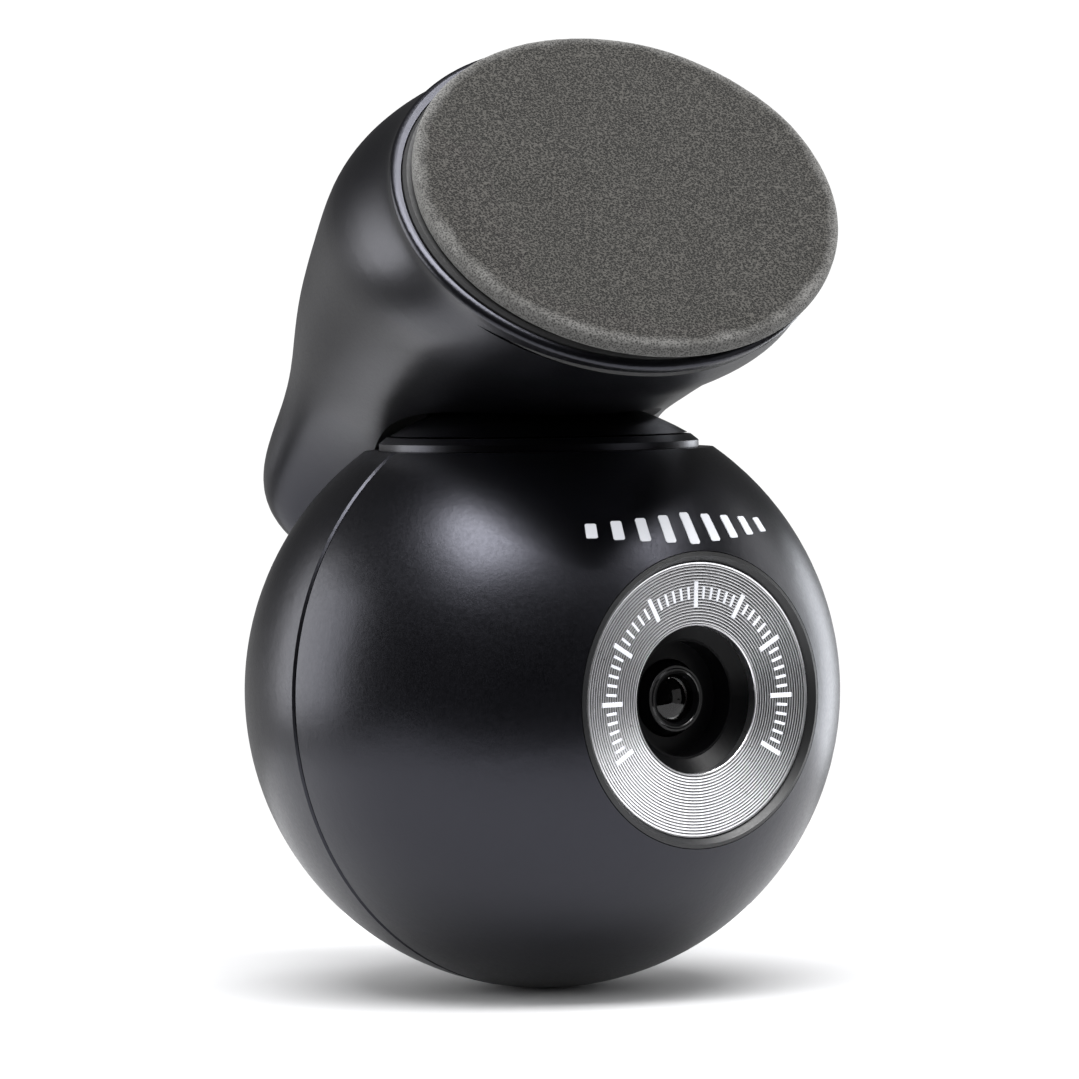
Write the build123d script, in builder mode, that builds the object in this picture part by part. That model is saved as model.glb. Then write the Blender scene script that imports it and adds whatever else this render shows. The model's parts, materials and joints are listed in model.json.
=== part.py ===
from build123d import *
import os
from math import asin, cos, degrees, radians, sin, sqrt

# A small window-mounted dash camera: a ball-shaped camera under a hook-shaped arm.
# The arm carries a round adhesive foam pad. Millimetres, +Z up, the arm's symmetry
# plane is YZ and its front is -Y. The origin is the centre of the foam's sticky face.

# ---------------------------------------------------------------- driving dimensions
ball_r = 19.0              # outer radius of the camera ball
shell_wall = 1.8
pad_tilt = 43.5            # the sticky face looks forward and up by this angle
face_forward = 16.1        # sticky face centre, ahead of the ball's vertical axis
face_up = 31.7             # sticky face centre, above the ball's centre
pan_rest = 18.25           # the lens looks this far towards +X of straight ahead

rim_r = 14.1               # arm's round rim
rim_depth = 1.5            # sticky face stands this far above the rim
foam_r, foam_thick = 13.4, 1.2
foam_shift = 0.75          # the foam is stuck on a little towards +X
plate_r, plate_thick = 13.1, 2.0
arm_wall = 1.8

hug_r = ball_r + 0.5       # hollow of the arm around the ball
hinge_angle = 60.0         # tilt hinge, measured back from straight up
hinge_reach = 24.0         # tilt hinge, from the ball's centre
pin_r, hinge_cap_r = 1.6, 2.6
pin_end = 10.8             # half the pin's length
knuckle_r = 3.6
knuckle_half = 5.0
slot_half = knuckle_half + 0.4
tongue_in, tongue_out = ball_r + 0.3, ball_r + 2.7
run_fit = 0.05             # radial clearance of a turning shaft

top_cut = 15.4             # flat on top of the ball
collar_top = 16.25
cap_base = 16.35
cap_r = 18.9               # the swivel cap carries on the ball's curve
spigot_r, spigot_bore = 4.95, 3.2
spigot_end = 11.3

bezel_r = 9.2
trim_r, trim_in_r = 8.46, 4.71
trim_front = 16.38         # along the lens axis, from the ball's centre
barrel_front_r, barrel_front = 2.05, 14.1
barrel_r = 2.9

sensor_board_front, post_x = 5.7, 6.6
boss_r, boss_ring = 2.0, 13.3
boss_angles = (-90, 25, 155)

boss_spots = [Rot(0, 0, angle) * Pos(boss_ring, 0) for angle in boss_angles]

# ---------------------------------------------------------------- frames and axes
ball_centre = Vector(0, face_forward, -face_up)
lens_dir = Vector(sin(radians(pan_rest)), -cos(radians(pan_rest)), 0)
lens_side = Vector(cos(radians(pan_rest)), sin(radians(pan_rest)), 0)
pad_normal = Vector(0, -cos(radians(pad_tilt)), sin(radians(pad_tilt)))

pad = Plane(origin=(0, 0, 0), x_dir=(1, 0, 0), z_dir=pad_normal)
side = Plane(origin=ball_centre, x_dir=(0, -1, 0), z_dir=(-1, 0, 0))   # x forward, y up
level = Plane(origin=ball_centre, x_dir=lens_side, z_dir=(0, 0, 1))
upright = Plane(origin=ball_centre, x_dir=(1, 0, 0), z_dir=(0, -1, 0))  # x across, y up
lens = Plane(origin=ball_centre, x_dir=lens_side, z_dir=lens_dir)
meridian = Plane(origin=ball_centre, x_dir=lens_side, z_dir=(0, 0, -1))  # x radius, y lens axis
swivel_axis = Axis(ball_centre, (0, 0, 1))
lens_axis = Axis(ball_centre, lens_dir)

hinge_forward = -hinge_reach * sin(radians(hinge_angle))
hinge_up = hinge_reach * cos(radians(hinge_angle))
hinge_point = ball_centre + Vector(0, -hinge_forward, hinge_up)
lens_profile = Plane(origin=ball_centre, x_dir=lens_dir, z_dir=lens_side * -1)  # x lens axis, y up
hinge_side = Plane(origin=hinge_point, x_dir=(0, -1, 0), z_dir=(-1, 0, 0))
hinge_end = Plane(origin=hinge_point, x_dir=(0, 1, 0), z_dir=(1, 0, 0))


def at(forward, up):
    """A point of the arm's symmetry plane, from the ball's centre."""
    return ball_centre + Vector(0, -forward, up)


# Arm cross-sections from the rim to the rear lobe: the back point, the front point
# (each forward, up of the ball's centre) and the half width.
rim_centre = pad_normal * -rim_depth - ball_centre
rim_mid = (-rim_centre.Y, rim_centre.Z)
rim_back = (rim_mid[0] - rim_r * sin(radians(pad_tilt)), rim_mid[1] + rim_r * cos(radians(pad_tilt)))
rim_front = (2 * rim_mid[0] - rim_back[0], 2 * rim_mid[1] - rim_back[1])
arm_stations = [
    (rim_back, rim_front, rim_r),
    ((-0.9, 39.4), (19.5, 19.4), 14.7),
    ((-7.2, 36.3), (13.2, 18.4), 14.9),
    ((-13.1, 31.7), (6.3, 17.3), 14.2),
    ((-18.2, 26.0), (-1.2, 15.9), 13.2),
    ((-22.4, 20.1), (-8.8, 13.7), 12.7),
    ((-25.2, 14.5), (-14.3, 10.2), 12.6),
    ((-24.5, 10.2), (-15.5, 8.2), 10.6),
    ((-21.6, 7.7), (-16.7, 6.9), 6.2),
]


def arm_body(grow=0.0, stations=arm_stations, mode=Mode.ADD):
    """The arm's smooth body, each section grown all round by the same amount."""
    sections = []
    for back, front, half_width in stations:
        rise = Vector(0, front[0] - back[0], back[1] - front[1])
        middle = at((back[0] + front[0]) / 2, (back[1] + front[1]) / 2)
        section_plane = Plane(origin=middle, x_dir=(1, 0, 0), z_dir=Vector(1, 0, 0).cross(rise))
        with BuildSketch(section_plane) as section:
            Ellipse(half_width + grow, rise.length / 2 + grow)
        sections.append(section.sketch.face())
    loft(sections, mode=mode)


def save(name, builder):
    builder.part.label = name
    export_step(builder.part, f"parts/{name}.step")


os.makedirs("parts", exist_ok=True)

# ================================================================ arm and pad
with BuildPart() as foam_pad:
    with BuildSketch(pad.offset(-foam_thick)):
        with Locations((foam_shift, 0)):
            Circle(foam_r)
    extrude(amount=foam_thick)
    fillet(foam_pad.edges(), 0.35)
save("foam_pad", foam_pad)

plate_top = -foam_thick
plate_bottom = plate_top - plate_thick
plate_screw_ring = 9.6
plate_screw_angles = (90, 12, 168)     # the wedge-shaped front of the arm has no room for one
screw_spots = [Rot(0, 0, angle) * Pos(plate_screw_ring, 0) for angle in plate_screw_angles]
with BuildPart() as mount_plate:
    with BuildSketch(pad.offset(plate_bottom)):
        Circle(plate_r)
    extrude(amount=plate_thick)
    chamfer(mount_plate.edges(), 0.2)
    with Locations(pad.offset(plate_top)):
        with Locations(*screw_spots):
            CounterSinkHole(radius=1.1, counter_sink_radius=2.05)
save("mount_plate", mount_plate)

with BuildPart() as plate_screw_group:
    with BuildSketch(pad.offset(plate_bottom - 5.0)):
        with Locations(*screw_spots):
            Circle(0.95)
    extrude(amount=5.0 + plate_thick - 0.05)
    with BuildSketch(pad.offset(plate_top - 1.0)):
        with Locations(*screw_spots):
            Circle(1.0)
    extrude(amount=0.95, taper=-45)
    with BuildSketch(pad.offset(plate_top - 0.05)):
        with Locations(*screw_spots):
            Rectangle(2.2, 0.45)
            Rectangle(0.45, 2.2)
    extrude(amount=-0.6, mode=Mode.SUBTRACT)
save("plate_screws", plate_screw_group)

# The cable socket leaves the upper back of the arm, square to its wall.
socket_tilt = 40.0
socket_mouth = at(-14.9, 30.6)
socket_dir = Vector(0, cos(radians(socket_tilt)), sin(radians(socket_tilt)))
socket = Plane(origin=socket_mouth, x_dir=(1, 0, 0), z_dir=socket_dir)
socket_w, socket_h, socket_depth, socket_wall = 7.7, 3.6, 8.4, 0.35
board_gap, board_t = 0.2, 0.8

cavity_r = 24.0            # the arm is solid inside this radius of the ball's centre
across = (0, 90, 0)        # spheres of the arm have their poles on the X axis
with BuildPart() as arm_cavity:
    arm_body(-arm_wall, arm_stations[:6])
    with Locations(ball_centre):
        Sphere(cavity_r, rotation=across, mode=Mode.SUBTRACT)
    with BuildSketch(hinge_side):
        Circle(knuckle_r + 3.4)
    extrude(amount=20, both=True, mode=Mode.SUBTRACT)

# Under the hinge the arm ends in a round barrel, so that the ball clears it over the
# whole tilt. Ahead of it the ball only ever moves away, and the arm hugs it there.
barrel_end_r = hinge_reach - hug_r - 0.1
with BuildPart() as barrel_relief:
    with BuildSketch(hinge_side):
        with BuildLine():
            Polyline((0, 0), (13, -7.5), (6, -14), (-8, -12), (-9, -3.5), close=True)
        make_face()
        Circle(barrel_end_r, mode=Mode.SUBTRACT)
    extrude(amount=20, both=True)

# The lead runs from the socket board through the arm's wall, along the tongue and down
# the hollow spigot into the ball.
lead_r, lead_reach = 0.6, tongue_out - 0.35
lead_start, lead_turn = 38.0, 8.0      # angles back from straight up
turn_r = lead_reach * sin(radians(lead_turn)) / (1 + sin(radians(lead_turn)))


def from_top(angle, reach):
    """Point of the side plane, an angle back from straight up."""
    return (-reach * sin(radians(angle)), reach * cos(radians(angle)))


lead_hole_plane = Plane(origin=at(*from_top(lead_start, tongue_out - 1)), x_dir=(1, 0, 0),
                        z_dir=at(*from_top(lead_start, 1)) - ball_centre)

# The yoke's tongue and knuckle lie in a slot in the middle of the arm, open behind and
# under the knuckle.
with BuildPart() as tongue_slot:
    with BuildSketch(side):
        Circle(tongue_out + 0.4)
        with BuildLine():
            Polyline((0, 0), (-40, 26), (-40, 60), (18, 60), close=True)
        make_face(mode=Mode.INTERSECT)
    extrude(amount=slot_half, both=True)
    with BuildSketch(hinge_side):
        Circle(knuckle_r + 0.5)
        with BuildLine():
            Polyline((0, 0), (5, 5), (12, 0), (4, -9), (-7, -8), (-9, 1.2), close=True)
        make_face()
    extrude(amount=slot_half, both=True)

with BuildPart() as arm_shell:
    arm_body()
    fillet(arm_shell.faces().sort_by(Axis(pad.origin, pad_normal))[-1].edges(), 0.4)
    with Locations(ball_centre):
        Sphere(hug_r, rotation=across, mode=Mode.SUBTRACT)
    add(arm_cavity.part, mode=Mode.SUBTRACT)
    with BuildSketch(pad.offset(plate_bottom)):
        Circle(plate_r + 0.1)
    extrude(amount=plate_thick + 3, mode=Mode.SUBTRACT)
    with BuildSketch(pad.offset(plate_bottom)):
        with Locations(*[spot * Pos(0.7, 0) for spot in screw_spots]):
            SlotOverall(6.4, 4.4)
    extrude(amount=-6.0)
    with BuildSketch(pad.offset(plate_bottom)):
        with Locations(*screw_spots):
            Circle(1.0)
    extrude(amount=-5.2, mode=Mode.SUBTRACT)
    add(barrel_relief.part, mode=Mode.SUBTRACT)
    add(tongue_slot.part, mode=Mode.SUBTRACT)
    with BuildSketch(hinge_side):
        Circle(pin_r)
    extrude(amount=pin_end + 0.05, both=True, mode=Mode.SUBTRACT)
    with BuildSketch(hinge_end.offset(pin_end)):
        Circle(hinge_cap_r)
    extrude(amount=5, mode=Mode.SUBTRACT)
    with BuildSketch(socket.offset(-socket_depth)):
        RectangleRounded(socket_w + 0.3, socket_h + 0.3, 0.8)
    extrude(amount=socket_depth + 5, mode=Mode.SUBTRACT)
    with BuildSketch(lead_hole_plane):
        Circle(lead_r + 0.2)
    extrude(amount=4.5, mode=Mode.SUBTRACT)
save("arm_shell", arm_shell)

with BuildPart() as hinge_pin:
    with BuildSketch(hinge_side):
        Circle(pin_r)
    extrude(amount=pin_end - 0.05, both=True)
    chamfer(hinge_pin.edges(), 0.2)
save("hinge_pin", hinge_pin)

with BuildPart() as hinge_cap:
    with BuildSketch(hinge_end.offset(pin_end + 0.02)):
        Circle(hinge_cap_r - 0.03)
    extrude(amount=5)
    arm_body(mode=Mode.INTERSECT)
save("hinge_cap", hinge_cap)

with BuildPart() as socket_shell:
    with BuildSketch(socket.offset(-socket_depth)):
        RectangleRounded(socket_w, socket_h, 0.7)
    extrude(amount=socket_depth - 0.4)
    with BuildSketch(socket.offset(-socket_depth + 0.5)):
        RectangleRounded(socket_w - 2 * socket_wall, socket_h - 2 * socket_wall, 0.45)
    extrude(amount=socket_depth, mode=Mode.SUBTRACT)
save("socket_shell", socket_shell)

with BuildPart() as socket_tongue:
    with BuildSketch(socket.offset(-socket_depth + 0.5)):
        Rectangle(socket_w - 2.6, 0.9)
    extrude(amount=socket_depth - 2.2)
    chamfer(socket_tongue.faces().sort_by(Axis(socket_mouth, socket_dir))[-1].edges(), 0.2)
save("socket_tongue", socket_tongue)

with BuildPart() as socket_board:
    with BuildSketch(Plane(origin=socket_mouth, x_dir=(1, 0, 0),
                           z_dir=Vector(1, 0, 0).cross(socket_dir)).offset(socket_h / 2 + board_gap)):
        with Locations((0, -socket_depth / 2 - 3.6)):
            RectangleRounded(10.0, 8.4, 0.8)
    extrude(amount=board_t)
save("socket_board", socket_board)

# ================================================================ swivel yoke
clip_z, clip_t, clip_in_r = 11.7, 0.7, 4.35
with BuildPart() as swivel_yoke:
    with BuildSketch(upright):
        with BuildLine():
            cap_edge = sqrt(cap_r ** 2 - cap_base ** 2)
            Line((0, cap_base), (cap_edge, cap_base))
            JernArc((cap_edge, cap_base), (-cap_base, cap_edge), cap_r, degrees(asin(cap_edge / cap_r)))
            Line((0, cap_r), (0, cap_base))
        make_face()
    revolve(axis=swivel_axis)
    with BuildSketch(level.offset(spigot_end)):
        Circle(spigot_r)
    extrude(amount=cap_base - spigot_end)
    with BuildSketch(side):
        with BuildLine():
            Polyline((0, 0), (-40, 24), (-40, 60), (12, 60), close=True)
        make_face()
        Circle(tongue_out, mode=Mode.INTERSECT)
        Circle(tongue_in, mode=Mode.SUBTRACT)
    extrude(amount=knuckle_half, both=True)
    with BuildSketch(side):
        with BuildLine():
            Polyline((-9.2, cap_base), (-9.2, 40), (4.0, 40), (4.0, cap_base), close=True)
        make_face()
        Circle(tongue_in + 0.2, mode=Mode.INTERSECT)
        Circle(cap_r - 1.0, mode=Mode.SUBTRACT)
    extrude(amount=knuckle_half, both=True)
    with BuildSketch(hinge_side):
        Circle(knuckle_r)
    extrude(amount=knuckle_half, both=True)
    with BuildSketch(hinge_side):
        Circle(pin_r + run_fit)
    extrude(amount=knuckle_half, both=True, mode=Mode.SUBTRACT)
    with BuildSketch(level.offset(spigot_end)):
        Circle(spigot_bore)
    extrude(amount=cap_base - spigot_end + 1.0, mode=Mode.SUBTRACT)
    with BuildSketch(level.offset(clip_z)):
        Circle(spigot_r + 1)
        Circle(clip_in_r - 0.05, mode=Mode.SUBTRACT)
    extrude(amount=clip_t, mode=Mode.SUBTRACT)
    with BuildLine(side) as channel:
        turn_start = from_top(lead_turn, lead_reach)
        CenterArc((0, 0), lead_reach, 90 + lead_start + 4, lead_turn - lead_start - 4)
        JernArc(turn_start, (cos(radians(lead_turn)), sin(radians(lead_turn))), turn_r, -90 - lead_turn)
        Line((0, lead_reach * cos(radians(lead_turn)) - turn_r * cos(radians(lead_turn))), (0, cap_base))
    with BuildSketch(Plane(channel.wires()[0] @ 0, z_dir=channel.wires()[0] % 0)):
        Circle(lead_r + 0.15)
    sweep(path=channel.wires()[0], mode=Mode.SUBTRACT)
save("swivel_yoke", swivel_yoke)

with BuildPart() as hinge_washer_group:
    for face_x in (knuckle_half + 0.02, -slot_half + 0.02):
        with BuildSketch(Plane(origin=hinge_point, z_dir=(1, 0, 0)).offset(face_x)):
            Circle(knuckle_r - 0.2)
            Circle(pin_r + 0.02, mode=Mode.SUBTRACT)
        extrude(amount=slot_half - knuckle_half - 0.04)
save("hinge_washers", hinge_washer_group)

with BuildPart() as friction_washer:
    with BuildSketch(upright):
        Polygon((5.15, 12.75), (7.1, 13.0), (7.1, 13.3), (5.15, 13.05), align=None)
    revolve(axis=swivel_axis)
save("friction_washer", friction_washer)

with BuildPart() as retaining_clip:
    with BuildSketch(level.offset(clip_z + 0.02)):
        Circle(6.3)
        Circle(clip_in_r, mode=Mode.SUBTRACT)
        with Locations((6, 0)):
            Rectangle(12, 4.6, mode=Mode.SUBTRACT)
    extrude(amount=clip_t - 0.04)
save("retaining_clip", retaining_clip)

# ================================================================ camera ball
# The collar is clamped between the two half shells; the yoke's spigot turns in it.
collar_bore = spigot_r + run_fit
neck_r = 7.5
with BuildPart() as swivel_collar:
    collar_edge = sqrt(ball_r ** 2 - collar_top ** 2) - 0.15
    with BuildSketch(upright):
        Polygon((collar_bore, 13.5), (8.4, 13.5), (8.4, 14.5), (neck_r, 14.5),
                (neck_r, top_cut + 0.02), (collar_edge + 0.5, top_cut + 0.02),
                (collar_edge + 0.5, top_cut + 0.45), (collar_edge, collar_top),
                (collar_bore, collar_top), align=None)
    revolve(axis=swivel_axis)
save("swivel_collar", swivel_collar)

inner_r = ball_r - shell_wall
seam_front, seam_rear = -0.22, -0.34    # the two shell edges, along the lens axis
lip_in, lip_out, lip_reach = inner_r, ball_r - 1.0, 1.0
seat_r, seat_in, seat_front, seat_back = bezel_r + 0.05, 8.3, 15.2, 13.8


def on_ball(radius_here, ball=ball_r):
    """Distance along the lens axis of a ball's surface at this radius."""
    return sqrt(ball ** 2 - radius_here ** 2)


def trim_top(collar_clear):
    """Cuts the flat on the ball's top and the hole for the collar's neck."""
    with BuildSketch(level.offset(top_cut)) as flat:
        Circle(ball_r)
    extrude(flat.sketch, amount=ball_r, mode=Mode.SUBTRACT)
    with BuildSketch(level.offset(top_cut - 3)) as neck_hole:
        Circle(collar_clear)
    extrude(neck_hole.sketch, amount=4, mode=Mode.SUBTRACT)


with BuildPart() as front_shell:
    with BuildSketch(lens.offset(0.55)):
        with Locations(*boss_spots):
            Circle(boss_r)
    extrude(amount=ball_r)
    with Locations(ball_centre):
        Sphere(ball_r - 0.9, rotation=across, mode=Mode.INTERSECT)
    with BuildSketch(meridian):
        with BuildLine():
            edge_r = on_ball(seam_front)
            seat_edge = sqrt(inner_r ** 2 - seat_back ** 2)
            Polyline((lip_in, seam_front - lip_reach), (lip_out - 0.05, seam_front - lip_reach),
                     (lip_out - 0.05, seam_front), (edge_r - 0.12, seam_front), (edge_r, -0.06))
            RadiusArc((edge_r, -0.06), (seat_r, on_ball(seat_r)), -ball_r)
            Polyline((seat_r, on_ball(seat_r)), (seat_r, seat_front), (seat_in, seat_front),
                     (seat_in, seat_back), (seat_edge, seat_back))
            RadiusArc((seat_edge, seat_back), (inner_r, 0), inner_r)
            Line((inner_r, 0), (lip_in, seam_front - lip_reach))
        make_face()
    revolve(axis=lens_axis)
    with BuildSketch(lens.offset(0.55)):
        with Locations(*boss_spots):
            Circle(0.85)
    extrude(amount=5.5, mode=Mode.SUBTRACT)
    trim_top(neck_r + 0.1)
save("front_shell", front_shell)

head_recess_r, head_seat = 1.9, -9.0
with BuildPart() as rear_shell:
    with BuildSketch(lens.offset(-0.55)):
        with Locations(*boss_spots):
            Circle(boss_r + 0.4)
    extrude(amount=-ball_r)
    with Locations(ball_centre):
        Sphere(ball_r - 0.9, rotation=across, mode=Mode.INTERSECT)
    with BuildSketch(meridian):
        with BuildLine():
            rear_edge_r = on_ball(seam_rear)
            Polyline((0, -inner_r), (0, -ball_r))
            RadiusArc((0, -ball_r), (rear_edge_r, seam_rear - 0.14), -ball_r)
            Polyline((rear_edge_r, seam_rear - 0.14), (rear_edge_r - 0.12, seam_rear), (lip_out, seam_rear),
                     (lip_out, seam_front - lip_reach - 0.1))
            lip_root = -(seam_front - lip_reach - 0.1)
            root_r = sqrt(inner_r ** 2 - lip_root ** 2)
            Line((lip_out, -lip_root), (root_r, -lip_root))
            RadiusArc((root_r, -lip_root), (0, -inner_r), inner_r)
        make_face()
    revolve(axis=lens_axis)
    with BuildSketch(lens.offset(-0.55)):
        with Locations(*boss_spots):
            Circle(1.1)
    extrude(amount=-ball_r, mode=Mode.SUBTRACT)
    with BuildSketch(lens.offset(head_seat)):
        with Locations(*boss_spots):
            Circle(head_recess_r)
    extrude(amount=-ball_r, mode=Mode.SUBTRACT)
    trim_top(neck_r + 0.1)
save("rear_shell", rear_shell)

with BuildPart() as shell_screw_group:
    with BuildSketch(lens.offset(head_seat)):
        with Locations(*boss_spots):
            Circle(0.84)
    extrude(amount=5.5 - head_seat)
    with BuildSketch(lens.offset(head_seat)):
        with Locations(*boss_spots):
            Circle(1.7)
    extrude(amount=-1.2)
    with BuildSketch(lens.offset(head_seat - 1.2)):
        with Locations(*boss_spots):
            Rectangle(2.0, 0.45)
            Rectangle(0.45, 2.0)
    extrude(amount=0.6, mode=Mode.SUBTRACT)
save("shell_screws", shell_screw_group)

trim_seat, trim_dish = 15.6, 0.18
with BuildPart() as lens_bezel:
    with BuildSketch(meridian):
        with BuildLine():
            crest_r = 8.95
            Polyline((7.6, seat_front + 0.02), (bezel_r, seat_front + 0.02), (bezel_r, on_ball(bezel_r)))
            RadiusArc((bezel_r, on_ball(bezel_r)), (crest_r, on_ball(crest_r)), -ball_r)
            Polyline((crest_r, on_ball(crest_r)), (trim_r + 0.05, trim_front - 0.1),
                     (trim_r + 0.05, trim_seat), (7.6, trim_seat), (7.6, seat_front + 0.02))
        make_face()
    revolve(axis=lens_axis)
save("lens_bezel", lens_bezel)

with BuildPart() as trim_ring:
    with BuildSketch(meridian):
        Polygon((trim_in_r, trim_seat + 0.05), (trim_r, trim_seat + 0.05), (trim_r, trim_front - 0.06),
                (trim_r - 0.06, trim_front), (trim_in_r + 0.05, trim_front - trim_dish),
                (trim_in_r, trim_front - trim_dish - 0.05), align=None)
    revolve(axis=lens_axis)
save("trim_ring", trim_ring)

# Black cone behind the trim ring; inside its small end the lens barrel stands in a well.
hood_top = trim_seat - 0.03
cone_end_r, cone_end = 3.76, 14.85
well_r, well_floor, barrel_hole_r = 3.6, 13.2, 2.45
hood_r, hood_back = 9.5, 12.1
with BuildPart() as lens_hood:
    with BuildSketch(meridian):
        Polygon((trim_in_r - 0.05, hood_top), (cone_end_r, cone_end), (well_r, cone_end),
                (well_r, well_floor), (barrel_hole_r, well_floor), (barrel_hole_r, hood_back),
                (hood_r, hood_back), (hood_r, seat_back - 0.03), (8.2, seat_back - 0.03),
                (8.2, 15.15), (7.5, 15.15), (7.5, hood_top), align=None)
    revolve(axis=lens_axis)
    with BuildSketch(lens.offset(sensor_board_front + 0.02)):
        with Locations((-post_x, 0), (post_x, 0)):
            Circle(1.2)
    extrude(amount=hood_back + 0.2 - sensor_board_front)
    with BuildSketch(lens.offset(sensor_board_front)):
        with Locations((-post_x, 0), (post_x, 0)):
            Circle(0.6)
    extrude(amount=4.2, mode=Mode.SUBTRACT)
save("lens_hood", lens_hood)

with BuildPart() as lens_barrel:
    with BuildSketch(meridian):
        Polygon((1.55, 7.9), (barrel_r, 7.9), (barrel_r, 11.9), (2.35, 11.9), (2.35, 13.0),
                (barrel_front_r + 0.15, 13.6), (barrel_front_r, barrel_front), (1.62, barrel_front),
                (1.5, 13.8), (1.62, 13.75), (1.62, 13.0), (1.3, 13.0), (1.3, 12.4), (1.8, 12.4),
                (1.8, 9.0), (1.55, 9.0), align=None)
    revolve(axis=lens_axis)
save("lens_barrel", lens_barrel)


def lens_element(name, radius, back, front, back_curve, front_curve):
    """A glass lens: two spherical faces (0 is flat) and a ground edge."""
    with BuildPart() as element:
        with BuildSketch(meridian):
            with BuildLine():
                Line((0, back[0]), (0, front[0]))
                RadiusArc((0, front[0]), (radius, front[1]), front_curve)
                Line((radius, front[1]), (radius, back[1]))
                RadiusArc((radius, back[1]), (0, back[0]), back_curve)
            make_face()
        revolve(axis=lens_axis)
    save(name, element)


def sag(radius, curve):
    return curve - sqrt(curve ** 2 - radius ** 2)


# each: rim radius, back face (middle, edge), front face (middle, edge), the two radii
lens_element("front_lens", 1.6, (13.35, 13.35 - sag(1.6, 4.0)), (14.3, 14.3 - sag(1.6, 2.6)), -4.0, 2.6)
lens_element("middle_lens", 1.78, (10.95, 10.95 + sag(1.78, 5.0)), (12.1, 12.1 - sag(1.78, 4.0)), 5.0, 4.0)
lens_element("rear_lens", 1.78, (9.1, 9.1 + sag(1.78, 4.5)), (10.2, 10.2 - sag(1.78, 6.0)), 4.5, 6.0)

with BuildPart() as lens_spacer:
    with BuildSketch(lens.offset(10.75)):
        Circle(1.78)
        Circle(1.45, mode=Mode.SUBTRACT)
    extrude(amount=-0.7)
save("lens_spacer", lens_spacer)

# ---------------------------------------------------------------- inside the ball
holder_back, holder_shoulder, holder_top = sensor_board_front + 0.04, 8.4, 11.6
with BuildPart() as lens_holder:
    with BuildSketch(lens.offset(holder_back)):
        RectangleRounded(9.4, 9.4, 0.8)
    extrude(amount=holder_shoulder - holder_back)
    with BuildSketch(lens.offset(holder_shoulder)):
        Circle(4.0)
    extrude(amount=holder_top - holder_shoulder)
    with BuildSketch(lens.offset(holder_back)):
        Rectangle(6.6, 6.6)
    extrude(amount=7.1 - holder_back, mode=Mode.SUBTRACT)
    with BuildSketch(lens.offset(7.1)):
        Circle(2.0)
    extrude(amount=1, mode=Mode.SUBTRACT)
    with BuildSketch(lens.offset(7.8)):
        Circle(barrel_r)
    extrude(amount=5, mode=Mode.SUBTRACT)
save("lens_holder", lens_holder)

with BuildPart() as ir_filter:
    with BuildSketch(lens.offset(6.75)):
        Rectangle(4.8, 4.8)
    extrude(amount=0.33)
save("ir_filter", ir_filter)

with BuildPart() as image_sensor:
    with BuildSketch(lens.offset(sensor_board_front + 0.01)):
        Rectangle(6.0, 5.2)
    extrude(amount=0.8)
    chamfer(image_sensor.faces().sort_by(lens_axis)[-1].edges(), 0.12)
save("image_sensor", image_sensor)

with BuildPart() as sensor_board:
    with BuildSketch(lens.offset(sensor_board_front)):
        RectangleRounded(16.6, 13.0, 1.5)
        with Locations((-post_x, 0), (post_x, 0)):
            Circle(0.75, mode=Mode.SUBTRACT)
    extrude(amount=-0.8)
save("sensor_board", sensor_board)

with BuildPart() as board_screw_group:
    with BuildSketch(lens.offset(sensor_board_front - 0.82)):
        with Locations((-post_x, 0), (post_x, 0)):
            Circle(0.58)
    extrude(amount=4.4)
    with BuildSketch(lens.offset(sensor_board_front - 0.82)):
        with Locations((-post_x, 0), (post_x, 0)):
            Circle(1.25)
    extrude(amount=-0.8)
    with BuildSketch(lens.offset(sensor_board_front - 1.62)):
        with Locations((-post_x, 0), (post_x, 0)):
            Rectangle(1.5, 0.35)
            Rectangle(0.35, 1.5)
    extrude(amount=0.4, mode=Mode.SUBTRACT)
save("board_screws", board_screw_group)

main_board_r, main_board_half, main_board_top = 15.6, 0.5, 8.0
with BuildPart() as main_board:
    with BuildSketch(lens.offset(-main_board_half)):
        Circle(main_board_r)
        with Locations((0, main_board_top + 10)):
            Rectangle(40, 20, mode=Mode.SUBTRACT)
        with Locations(*boss_spots):
            Circle(1.0, mode=Mode.SUBTRACT)
    extrude(amount=2 * main_board_half)
save("main_board", main_board)

with BuildPart() as video_chip:
    with BuildSketch(lens.offset(-main_board_half - 0.02)):
        with Locations((3.2, -3.5)):
            Rectangle(8, 8)
    extrude(amount=-1.0)
    chamfer(video_chip.faces().sort_by(lens_axis)[0].edges(), 0.15)
save("video_chip", video_chip)

with BuildPart() as memory_chip:
    with BuildSketch(lens.offset(-main_board_half - 0.02)):
        with Locations((-6.6, -3.5)):
            Rectangle(5, 6)
    extrude(amount=-0.9)
    chamfer(memory_chip.faces().sort_by(lens_axis)[0].edges(), 0.15)
save("memory_chip", memory_chip)

flex_half, flex_t, flex_turn = 3.0, 0.25, 1.55
sensor_plug_y, main_plug_y, plug_half = -3.2, -6.6, 1.1
flex_low = -9.0
flex_front, flex_rear = 4.2, 4.2 - 2 * flex_turn
with BuildPart() as flex_connector_group:
    with BuildSketch(lens.offset(sensor_board_front - 0.82)):
        with Locations((0, sensor_plug_y)):
            Rectangle(7.2, 2 * plug_half)
    extrude(amount=-1.2)
    with BuildSketch(lens.offset(main_board_half + 0.02)):
        with Locations((0, main_plug_y)):
            Rectangle(7.2, 2 * plug_half)
    extrude(amount=1.2)
save("flex_connectors", flex_connector_group)

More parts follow.
